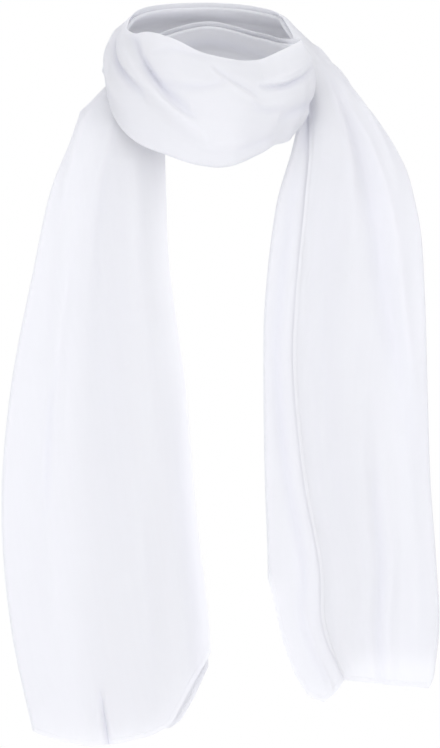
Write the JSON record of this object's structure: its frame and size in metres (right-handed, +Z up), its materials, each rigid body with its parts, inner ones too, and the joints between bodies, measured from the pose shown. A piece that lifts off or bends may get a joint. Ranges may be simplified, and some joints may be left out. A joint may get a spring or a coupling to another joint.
{
  "type": "long chiffon scarf worn with one turn round the neck",
  "caption": "Sheer white chiffon scarf in its worn shape: a draped swag in front of the neck, wraps round the nape and long flat tails hanging in front",
  "frame": {"origin": "middle of the neck opening, at the height where the wraps lie on the wearer's shoulders", "axes": "+Z up along the wearer's neck, -Y to the front of the wearer, +X to the viewer's right as seen from the front"},
  "size_m": [0.35, 0.2063, 0.6011],
  "materials": {
    "chiffon": "matte, sheer plain weave with a fine crepe grain",
    "rolled_hem": "matte, narrow rolled hem of the same cloth"
  },
  "bodies": {
    "root": {"left_tail": "chiffon", "back_wrap_inner": "chiffon", "front_swag": "chiffon", "back_wrap_outer": "chiffon", "right_tail": "chiffon", "left_tail_hem": "rolled_hem", "right_tail_hem": "rolled_hem", "right_tail_side_hem": "rolled_hem"}
  },
  "joints": []
}
